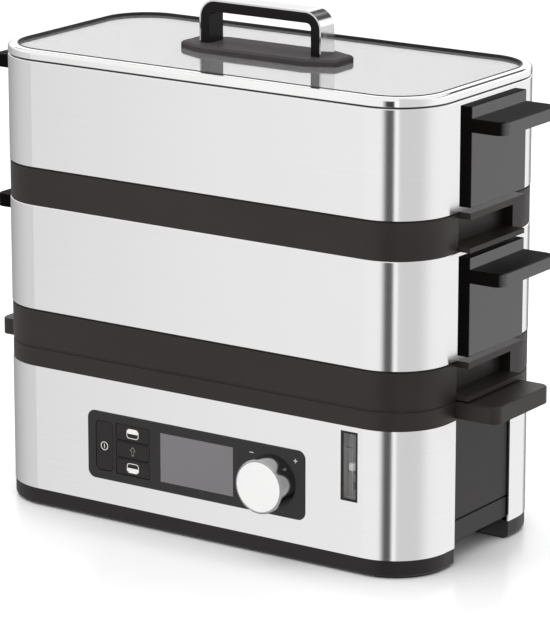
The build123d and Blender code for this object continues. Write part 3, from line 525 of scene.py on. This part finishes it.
@dataclass(frozen=True)
class LegendInk:
    """Printed legend with slightly uneven cover."""

    name: str = "legend_ink"
    colour: Colour = (0.86, 0.85, 0.83)

    def make(self) -> bpy.types.Material:
        """Build the material."""
        material, tree = new_material(self.name)
        cover = tree.noise((1500.0, 1500.0, 1500.0), 2.0)
        tree.surface({
            "Base Color": tree.blend(cover, self.colour, tuple(c * 0.9 for c in self.colour)),
            "Roughness": 0.45 + (cover - 0.5) * 0.1,
        })
        return material


class Rack:
    """The finishes made so far, so that each is made once."""

    def __init__(self) -> None:
        """Start with an empty rack."""
        self._made: dict[str, bpy.types.Material] = {}

    def get(self, finish: Finish) -> bpy.types.Material:
        """Return the material of a finish, making it the first time."""
        if finish.name not in self._made:
            self._made[finish.name] = finish.make()
        return self._made[finish.name]

    def dress(self, finish: Finish, *nodes: str) -> None:
        """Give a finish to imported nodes.

        Args:
            finish: The finish to use.
            nodes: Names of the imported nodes.
        """
        material = self.get(finish)
        for name in nodes:
            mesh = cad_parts[name].data
            mesh.materials.clear()
            mesh.materials.append(material)
            LOG.info("dressed %s in %s", name, material.name)

    @staticmethod
    def keep_out_of_mirrors(*nodes: str) -> None:
        """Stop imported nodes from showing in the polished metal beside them."""
        for name in nodes:
            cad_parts[name].visible_glossy = False


Finish = Union[BrushedSteel, PolishedSteel, TurnedFace, MouldedPlastic, GripPlastic, ClearGlass,
               DisplayGlass, SmokedWindow, GaugeHousing, CircuitBoard, LegendInk]

SLEEVE_STEEL = BrushedSteel()
BASIN_STEEL = BrushedSteel("steel_drawn", (0.72, 0.72, 0.71), Grain.ALONG_X, 0.34, 0.4)
SCREW_STEEL = BrushedSteel("steel_screw", (0.6, 0.6, 0.6), Grain.UPRIGHT, 0.3, 0.0)
CHROME = PolishedSteel()
STRIP_STEEL = PolishedSteel("steel_strip", (0.64, 0.64, 0.64), 0.09)
KNOB_METAL = PolishedSteel("steel_knob", (0.42, 0.42, 0.42), 0.12)
BAND_PLASTIC = MouldedPlastic("plastic_band")
SIDE_PLASTIC = MouldedPlastic("plastic_side", (0.0125, 0.0098, 0.0105), 0.3, 0.00001, specular=0.22)
GRIP_PLASTIC = GripPlastic()
BOW_PLASTIC = MouldedPlastic("plastic_bow", (0.006, 0.0045, 0.0045), 0.36, 0.000015, specular=0.14)
PANEL_GLOSS = MouldedPlastic("plastic_panel", (0.0065, 0.005, 0.0047), 0.2, 0.000002, 900.0, 0.26)
KEY_PLASTIC = MouldedPlastic("plastic_key", (0.011, 0.009, 0.0085), 0.3, 0.000004, 1800.0)
DARK_PLASTIC = MouldedPlastic("plastic_inner", (0.05, 0.05, 0.055), 0.5)
WHITE_PLASTIC = MouldedPlastic("plastic_float", (0.85, 0.85, 0.84), 0.3, 0.000004)
PLINTH_PLASTIC = MouldedPlastic("plastic_plinth", (0.0085, 0.0065, 0.0065), 0.4)
PLATE_PLASTIC = MouldedPlastic("plastic_lid_plate", (0.06, 0.054, 0.055), 0.42, specular=0.01)
RUBBER = MouldedPlastic("rubber_feet", (0.018, 0.018, 0.018), 0.75, 0.00006, 1500.0)
SILICONE = MouldedPlastic("silicone_seal", (0.016, 0.0155, 0.0155), 0.38, 0.00001, 800.0)
# the lid's milky share is painted light standing in for the lit inside of the basket
LID_PANE = ClearGlass("glass_lid", (0.97, 0.97, 0.97), ior=1.9, milky_painted_light=0.12)


# ---------------------------------------------------------------- mesh building blocks
def rounded_loop(width: float, height: float, radius: float, steps: int = 6) -> list[Point2]:
    """Return a rounded rectangle round the origin, anticlockwise.

    Args:
        width: Full width.
        height: Full height.
        radius: Corner radius.
        steps: Segments of each corner.

    Returns:
        The corner points.
    """
    points: list[Point2] = []
    corners = ((1, 1, 0.0), (-1, 1, 90.0), (-1, -1, 180.0), (1, -1, 270.0))
    for side_x, side_z, start in corners:
        centre_x = side_x * (width / 2 - radius)
        centre_z = side_z * (height / 2 - radius)
        for step in range(steps + 1):
            angle = math.radians(start + 90.0 * step / steps)
            points.append((centre_x + radius * math.cos(angle),
                           centre_z + radius * math.sin(angle)))
    return points


def circle_loop(radius: float, steps: int = 40) -> list[Point2]:
    """Return a circle round the origin, anticlockwise."""
    turn = math.tau / steps
    return [(radius * math.cos(turn * k), radius * math.sin(turn * k)) for k in range(steps)]


def moved(loop: Sequence[Point2], x: float, z: float) -> list[Point2]:
    """Return the loop moved by x and z."""
    return [(px + x, pz + z) for px, pz in loop]


def upright_ring(name: str, outer: Sequence[Point2], inner: Sequence[Point2],
                 low: float, high: float) -> bpy.types.Object:
    """Make a flat-lying ring with walls between two heights and a rounded top.

    Args:
        name: Name of the piece.
        outer: Outer outline seen from above.
        inner: Inner outline with the same number of points.
        low: Lowest z.
        high: Highest z.

    Returns:
        The new piece.
    """
    shape = bmesh.new()
    shoulder = high - (high - low) * 0.35

    def ring(share: float, z: float) -> list[bmesh.types.BMVert]:
        """Add a loop that lies a share of the way from the outer to the inner outline."""
        return [shape.verts.new((ox + (ix - ox) * share, oy + (iy - oy) * share, z))
                for (ox, oy), (ix, iy) in zip(outer, inner)]

    rings = [ring(0.0, low), ring(0.0, shoulder), ring(0.25, high), ring(0.75, high),
             ring(1.0, shoulder), ring(1.0, low)]
    for first, second in zip(rings, rings[1:] + rings[:1]):
        count = len(first)
        for k in range(count):
            after = (k + 1) % count
            shape.faces.new((first[k], first[after], second[after], second[k]))
    bmesh.ops.recalc_face_normals(shape, faces=shape.faces[:])
    data = bpy.data.meshes.new(name)
    shape.to_mesh(data)
    shape.free()
    return link(name, data)


class FrontPrint:
    """Thin raised shapes on a face that looks towards -y."""

    def __init__(self, name: str, face_y: float, thickness: float) -> None:
        """Start an empty print.

        Args:
            name: Name of the piece.
            face_y: Depth of the printed face.
            thickness: Height of the print above the face.
        """
        self.name = name
        self.face_y = face_y
        self.thickness = thickness
        self.mesh = bmesh.new()

    def _ring_of(self, loop: Sequence[Point2], y: float) -> list[bmesh.types.BMVert]:
        """Add one vertex for each point of the loop."""
        return [self.mesh.verts.new((x, y, z)) for x, z in loop]

    def fill(self, loop: Sequence[Point2]) -> None:
        """Add a filled shape."""
        near = self._ring_of(loop, self.face_y - self.thickness)
        far = self._ring_of(loop, self.face_y)
        self.mesh.faces.new(near)
        self.mesh.faces.new(list(reversed(far)))
        self._wall(near, far)

    def band(self, outer: Sequence[Point2], inner: Sequence[Point2]) -> None:
        """Add a closed stroke between two loops with the same number of points."""
        rings = [self._ring_of(loop, y) for y in (self.face_y - self.thickness, self.face_y)
                 for loop in (outer, inner)]
        near_outer, near_inner, far_outer, far_inner = rings
        self._wall(near_inner, near_outer)
        self._wall(far_outer, far_inner)
        self._wall(near_outer, far_outer)
        self._wall(far_inner, near_inner)

    def _wall(self, first: Sequence[bmesh.types.BMVert],
              second: Sequence[bmesh.types.BMVert]) -> None:
        """Join two rings of vertices with faces."""
        count = len(first)
        for k in range(count):
            after = (k + 1) % count
            self.mesh.faces.new((first[k], first[after], second[after], second[k]))

    def finish(self, material: bpy.types.Material, body: str, slot: str) -> bpy.types.Object:
        """Turn the shapes into a piece.

        Args:
            material: The ink.
            body: The moving body that the print rides on.
            slot: The name of a material slot of the record; not used.

        Returns:
            The new piece.
        """
        bmesh.ops.recalc_face_normals(self.mesh, faces=self.mesh.faces[:])
        data = bpy.data.meshes.new(self.name)
        self.mesh.to_mesh(data)
        self.mesh.free()
        data.materials.append(material)
        piece = link(self.name, data)
        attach(piece, body)
        LOG.info("built %s on %s", self.name, body)
        return piece


def link(name: str, data: bpy.types.ID) -> bpy.types.Object:
    """Make an object from its data and put it in the scene."""
    item = bpy.data.objects.new(name, data)
    bpy.context.scene.collection.objects.link(item)
    return item


def centre_of(node: str) -> Vector:
    """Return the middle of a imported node's box."""
    low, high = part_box(node)
    return (low + high) / 2


# ---------------------------------------------------------------- sub-assemblies
@dataclass
class Base:
    """Plinth, steel shells, rim and the parts inside the base."""

    rack: Rack

    def dress(self) -> None:
        """Give every piece of the base its finish."""
        rack = self.rack
        rack.dress(SLEEVE_STEEL, "base_front_shell", "base_rear_shell")
        rack.dress(BAND_PLASTIC, "base_rim")
        rack.dress(PLINTH_PLASTIC, "base_pan")
        rack.dress(SIDE_PLASTIC, "base_side_panel_left", "base_side_panel_right")
        rack.dress(RUBBER, "rubber_feet", "cord_gland")
        rack.dress(BASIN_STEEL, "boiler_basin", "heating_element")
        rack.dress(SILICONE, "basin_seal")
        rack.dress(SCREW_STEEL, "pan_screws", "board_screws")
        rack.dress(DARK_PLASTIC, "thermostat", "power_components")
        rack.dress(CircuitBoard(), "power_board", "control_board")
        rack.dress(DARK_PLASTIC, "drip_tray")


class Legend(Enum):
    """What is printed on each key."""

    POWER = "power_key"
    UPPER_BASKET = "upper_basket_key"
    ARROW = "arrow_key"
    LOWER_BASKET = "lower_basket_key"


@dataclass
class ControlPanel:
    """Glossy panel with its keys, display and printed legends."""

    rack: Rack
    print_thickness: float = 0.05 * MM
    stroke: float = 0.42 * MM
    fine_stroke: float = 0.4 * MM
    power_radius: float = 2.6 * MM
    basket_width: float = 8.6 * MM
    basket_height: float = 5.9 * MM
    basket_radius: float = 1.9 * MM
    arrow_height: float = 5.6 * MM
    arrow_width: float = 4.4 * MM
    sign_size: float = 2.7 * MM
    sign_reach: float = 1.24
    sign_angle: float = 44.0
    sign_spread: float = 1.1

    def dress(self) -> None:
        """Give the panel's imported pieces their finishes."""
        rack = self.rack
        rack.dress(PANEL_GLOSS, "control_bezel")
        rack.dress(KEY_PLASTIC, *(legend.value for legend in Legend))
        rack.dress(DisplayGlass(), "display_lens", "display_module")
        rack.dress(DARK_PLASTIC, "key_switches", "rotary_encoder")

    def build(self) -> None:
        """Print the legends on the keys and the signs beside the knob."""
        drawers: dict[Legend, Callable[[FrontPrint, float, float], None]] = {
            Legend.POWER: self._draw_power,
            Legend.UPPER_BASKET: self._draw_upper,
            Legend.ARROW: self._draw_arrow,
            Legend.LOWER_BASKET: self._draw_lower,
        }
        ink = self.rack.get(LegendInk())
        faint = self.rack.get(LegendInk("legend_faint", (0.2, 0.19, 0.18)))
        for legend, draw in drawers.items():
            low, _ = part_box(legend.value)
            centre = centre_of(legend.value)
            sheet = FrontPrint(f"{legend.value}_legend", low.y, self.print_thickness)
            draw(sheet, centre.x, centre.z)
            sheet.finish(faint if legend is Legend.ARROW else ink, legend.value, "key_plastic")
        self._print_signs(ink)

    def _draw_power(self, sheet: FrontPrint, x: float, z: float) -> None:
        """Draw a ring with an upright bar."""
        sheet.band(moved(circle_loop(self.power_radius), x, z),
                   moved(circle_loop(self.power_radius - self.fine_stroke), x, z))
        bar = rounded_loop(self.fine_stroke, self.power_radius, self.fine_stroke * 0.45, 2)
        sheet.fill(moved(bar, x, z))

    def _draw_basket(self, sheet: FrontPrint, x: float, z: float, filled_end: int) -> None:
        """Draw a rounded box whose upper (1) or lower (-1) half is filled."""
        outer = rounded_loop(self.basket_width, self.basket_height, self.basket_radius)
        inner = rounded_loop(self.basket_width - 2 * self.stroke,
                             self.basket_height - 2 * self.stroke,
                             self.basket_radius - self.stroke)
        sheet.band(moved(outer, x, z), moved(inner, x, z))
        half = rounded_loop(self.basket_width - 2 * self.stroke,
                            self.basket_height / 2 - self.stroke,
                            self.basket_radius * 0.4)
        sheet.fill(moved(half, x, z + filled_end * (self.basket_height / 4 - self.stroke / 2)))

    def _draw_upper(self, sheet: FrontPrint, x: float, z: float) -> None:
        """Draw the sign of the upper basket."""
        self._draw_basket(sheet, x, z, 1)

    def _draw_lower(self, sheet: FrontPrint, x: float, z: float) -> None:
        """Draw the sign of the lower basket."""
        self._draw_basket(sheet, x, z, -1)

    def _draw_arrow(self, sheet: FrontPrint, x: float, z: float) -> None:
        """Draw an outlined arrow that points up."""
        sheet.band(moved(self._arrow_loop(0.0), x, z), moved(self._arrow_loop(1.0), x, z))

    def _arrow_loop(self, shrink: float) -> list[Point2]:
        """Return the arrow's outline, moved inwards by shrink strokes."""
        step = self.fine_stroke * shrink
        head = self.arrow_height / 2 - 1.5 * step
        shoulder = self.arrow_height * 0.02 + 0.45 * step
        foot = -self.arrow_height / 2 + step
        wide = self.arrow_width / 2 - 1.9 * step
        narrow = self.arrow_width * 0.2 - step * 0.75
        return [(0.0, head), (-wide, shoulder), (-narrow, shoulder), (-narrow, foot),
                (narrow, foot), (narrow, shoulder), (wide, shoulder)]

    def _print_signs(self, ink: bpy.types.Material) -> None:
        """Print a minus and a plus on the panel, left and right above the knob."""
        low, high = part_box("knob_sleeve")
        centre = (low + high) / 2
        reach = (high.x - low.x) / 2 * self.sign_reach
        face_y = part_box("control_bezel")[0].y
        across = reach * math.sin(math.radians(self.sign_angle)) * self.sign_spread
        up = reach * math.cos(math.radians(self.sign_angle))
        long_bar = rounded_loop(self.sign_size, self.fine_stroke, self.fine_stroke * 0.4, 2)
        tall_bar = rounded_loop(self.fine_stroke, self.sign_size, self.fine_stroke * 0.4, 2)
        minus = FrontPrint("minus_sign", face_y, self.print_thickness)
        minus.fill(moved(long_bar, centre.x - across, centre.z + up))
        minus.finish(ink, "base", "panel_gloss")
        plus = FrontPrint("plus_sign", face_y, self.print_thickness)
        plus.fill(moved(long_bar, centre.x + across, centre.z + up))
        plus.fill(moved(tall_bar, centre.x + across, centre.z + up))
        plus.finish(ink, "base", "panel_gloss")


@dataclass
class Knob:
    """Metal-capped rotary knob."""

    rack: Rack

    def dress(self) -> None:
        """Give the knob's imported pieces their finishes."""
        self.rack.dress(KNOB_METAL, "knob_sleeve")
        self.rack.dress(TurnedFace(centre_of("knob_face")), "knob_face")
        self.rack.dress(DARK_PLASTIC, "knob_core")
        self.rack.dress(SCREW_STEEL, "encoder_shaft")
        self.rack.keep_out_of_mirrors("knob_sleeve", "knob_face", "knob_core")


@dataclass
class LevelGauge:
    """Water level window with its float and level mark."""

    rack: Rack
    mark_width: float = 5.0 * MM
    mark_height: float = 0.35 * MM
    mark_drop: float = 8.0 * MM
    print_thickness: float = 0.04 * MM

    def dress(self) -> None:
        """Give the gauge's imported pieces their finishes."""
        rack = self.rack
        rack.dress(GaugeHousing(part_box("gauge_housing")[0].y), "gauge_housing")
        rack.dress(SmokedWindow(), "gauge_window")
        rack.dress(SCREW_STEEL, "gauge_guide")
        rack.dress(WHITE_PLASTIC, "gauge_float")

    def build(self) -> None:
        """Print the upper level mark on the window."""
        low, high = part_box("gauge_window")
        centre = (low + high) / 2
        ink = self.rack.get(LegendInk("legend_level", (0.02, 0.02, 0.02)))
        sheet = FrontPrint("level_mark", low.y, self.print_thickness)
        bar = rounded_loop(self.mark_width, self.mark_height, self.mark_height * 0.4, 2)
        sheet.fill(moved(bar, centre.x, high.z - self.mark_drop))
        sheet.finish(ink, "base", "gauge_window")


@dataclass
class Basket:
    """One basket: steel sleeve, black band, two grips and the food grid."""

    rack: Rack
    tier: str

    def dress(self) -> None:
        """Give the basket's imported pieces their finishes."""
        rack = self.rack
        rack.dress(SLEEVE_STEEL, f"{self.tier}_sleeve")
        rack.dress(BAND_PLASTIC, f"{self.tier}_band")
        rack.dress(GRIP_PLASTIC, f"{self.tier}_handle_left", f"{self.tier}_handle_right")
        rack.keep_out_of_mirrors(f"{self.tier}_handle_left", f"{self.tier}_handle_right")
        rack.dress(SCREW_STEEL, f"{self.tier}_handle_screws")
        rack.dress(BASIN_STEEL, f"{self.tier}_grid")


@dataclass
class Lid:
    """Glass lid with its steel rim, seals and handle."""

    rack: Rack
    lip_width: float = 0.7 * MM
    lip_height: float = 0.3 * MM
    lip_corner: float = 28.9 * MM

    def dress(self) -> None:
        """Give the lid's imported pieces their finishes."""
        rack = self.rack
        rack.dress(LID_PANE, "lid_glass")
        rack.dress(CHROME, "lid_rim")
        rack.dress(STRIP_STEEL, "lid_handle_strip")
        rack.dress(SILICONE, "lid_bead", "lid_gasket", "lid_washers")
        rack.dress(BOW_PLASTIC, "lid_handle_arch")
        rack.dress(PLATE_PLASTIC, "lid_handle_plate")
        rack.dress(SCREW_STEEL, "lid_screws")

    def build(self) -> None:
        """Add the bead's thin lip that laps over the rim's inner edge."""
        low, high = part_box("lid_bead")
        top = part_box("lid_rim")[1].z
        size, centre = high - low, (low + high) / 2
        outer = rounded_loop(size.x, size.y, self.lip_corner, LIP_CORNER_STEPS)
        inner = rounded_loop(size.x - 2 * self.lip_width, size.y - 2 * self.lip_width,
                             self.lip_corner - self.lip_width, LIP_CORNER_STEPS)
        lip = upright_ring("lid_bead_lip", moved(outer, centre.x, centre.y),
                           moved(inner, centre.x, centre.y), high.z, top + self.lip_height)
        lip.data.materials.append(self.rack.get(SILICONE))
        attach(lip, "lid")
        LOG.info("built %s on lid", lip.name)


# ---------------------------------------------------------------- studio
@dataclass(frozen=True)
class Zone:
    """A soft-edged zone of the surroundings.

    Its limits are degrees of turn round the object, or the sine of the rise above the horizon.
    """

    start: float
    full: float
    fade: float
    end: float
    amount: float

    def mask(self, tree: ShaderTree, where: Signal) -> Signal:
        """Return 1 inside the zone and 0 outside, with soft edges."""
        return tree.ramp(where, self.start, self.full) * (1.0 - tree.ramp(where, self.fade, self.end))


WHITE_LEVEL = 1.02
LOW_RISE = (0.05, 0.35)
DARK_STRIP = Zone(0.0, 13.0, 23.0, 28.0, 0.96)
BRIGHT_STRIP = Zone(25.0, 28.0, 31.0, 35.0, 0.15)
GREY_SIDE = Zone(32.0, 37.0, 70.0, 110.0, 0.28)
LEFT_SHADE, LEFT_AMOUNT = (-140.0, -45.0), 0.4
NEAR_SHADE, NEAR_AMOUNT = (-41.0, -34.5), 0.28
BEHIND = (110.0, 125.0)
BEAM = Zone(0.43, 0.46, 0.56, 0.6, 0.9)
WINDOW = Zone(0.04, 0.14, 0.37, 0.43, 0.6)


@dataclass
class Studio:
    """Pale floor, soft lights, surroundings and camera."""

    azimuth: float = 34.25
    elevation: float = 15.08
    distance: float = 2.22
    lens: float = 213.6
    target: Vector = Vector((0.006, 0.007, 0.1187))
    floor_size: float = 9.0
    lamp_power: float = 30.0

    def build(self) -> None:
        """Make the camera, the floor, the lights and the surroundings."""
        self._camera()
        self._floor()
        self._surroundings()
        self._area("key_light", (0.9, -2.4, 2.6), (2.2, 1.6))
        self._area("top_light", (-0.3, 0.2, 2.8), (2.6, 2.0))
        bpy.context.scene.view_settings.view_transform = "Standard"

    def _direction(self) -> Vector:
        """Return the unit vector from the target to the camera."""
        turn, rise = math.radians(self.azimuth), math.radians(self.elevation)
        return Vector((math.sin(turn) * math.cos(rise), -math.cos(turn) * math.cos(rise),
                       math.sin(rise)))

    def _camera(self) -> None:
        """Place the camera."""
        back = self._direction()
        data = bpy.data.cameras.new("studio_camera")
        data.lens = self.lens
        data.sensor_width = SENSOR_WIDTH
        data.clip_end = CLIP_END
        camera = link("studio_camera", data)
        camera.location = self.target + back * self.distance
        camera.rotation_mode = "QUATERNION"
        camera.rotation_quaternion = (-back).to_track_quat("-Z", "Y")
        bpy.context.scene.camera = camera

    def _floor(self) -> None:
        """Make the pale floor."""
        half = self.floor_size / 2
        data = bpy.data.meshes.new("studio_floor")
        corners = [(-half, -half, 0), (half, -half, 0), (half, half, 0), (-half, half, 0)]
        data.from_pydata(corners, [], [(0, 1, 2, 3)])
        floor = link("studio_floor", data)
        material, tree = new_material("floor_white")
        cloud = tree.noise((3.0, 3.0, 3.0), 2.0)
        tree.surface({
            "Base Color": tree.blend(cloud, (0.96, 0.96, 0.96), (0.945, 0.945, 0.945)),
            "Roughness": 0.24 + cloud * 0.04,
            "Specular IOR Level": 0.35,
        })
        data.materials.append(material)
        floor.visible_glossy = False

    def _surroundings(self) -> None:
        """Make white surroundings with upright strips, and a window behind, to mirror."""
        world = bpy.data.worlds.new("studio_world")
        world.use_nodes = True
        bpy.context.scene.world = world
        tree = ShaderTree(world.node_tree)
        x, y, rise = tree.split(tree.output(tree.add("ShaderNodeTexCoord"), "Generated"))
        turn = tree.math("ARCTAN2", x, -y) * (180.0 / math.pi)
        low = 1.0 - tree.ramp(rise, *LOW_RISE)
        dark_strip, bright_strip = DARK_STRIP.mask(tree, turn), BRIGHT_STRIP.mask(tree, turn)
        grey_side = GREY_SIDE.mask(tree, turn)
        left_shade = 1.0 - tree.ramp(turn, *LEFT_SHADE)
        near_shade = 1.0 - tree.ramp(turn, *NEAR_SHADE)
        behind = tree.ramp(turn.size(), *BEHIND)
        beam, window = BEAM.mask(tree, rise), WINDOW.mask(tree, rise)
        glow = (WHITE_LEVEL - dark_strip * low * DARK_STRIP.amount
                + bright_strip * low * BRIGHT_STRIP.amount - grey_side * GREY_SIDE.amount
                - left_shade * low * LEFT_AMOUNT - near_shade * low * NEAR_AMOUNT
                + window * behind * WINDOW.amount - beam * behind * BEAM.amount)
        seen = tree.output(tree.add("ShaderNodeLightPath"), "Is Camera Ray")
        strength = seen + (1.0 - seen) * glow
        background = tree.add("ShaderNodeBackground", None,
                              {"Color": (1.0, 1.0, 1.0, 1.0), "Strength": strength})
        tree.add("ShaderNodeOutputWorld", None, {"Surface": tree.output(background)})

    def _area(self, name: str, place: Colour, size: Point2) -> None:
        """Add one soft rectangular light aimed at the target.

        Args:
            name: Name of the light.
            place: Position in metres.
            size: Width and height in metres.
        """
        data = bpy.data.lights.new(name, "AREA")
        data.shape = "RECTANGLE"
        data.size, data.size_y = size
        data.energy = self.lamp_power
        lamp = link(name, data)
        lamp.location = place
        lamp.visible_glossy = False
        aim = self.target - Vector(place)
        lamp.rotation_mode = "QUATERNION"
        lamp.rotation_quaternion = aim.to_track_quat("-Z", "Y")


def main() -> None:
    """Dress and build every sub-assembly, then the studio round them."""
    logging.basicConfig(level=logging.INFO, format="%(name)s: %(message)s")
    Studio().build()
    rack = Rack()
    Base(rack).dress()
    panel = ControlPanel(rack)
    panel.dress()
    panel.build()
    Knob(rack).dress()
    gauge = LevelGauge(rack)
    gauge.dress()
    gauge.build()
    for tier in ("lower", "upper"):
        Basket(rack, tier).dress()
    lid = Lid(rack)
    lid.dress()
    lid.build()


if __name__ == "__main__":
    main()
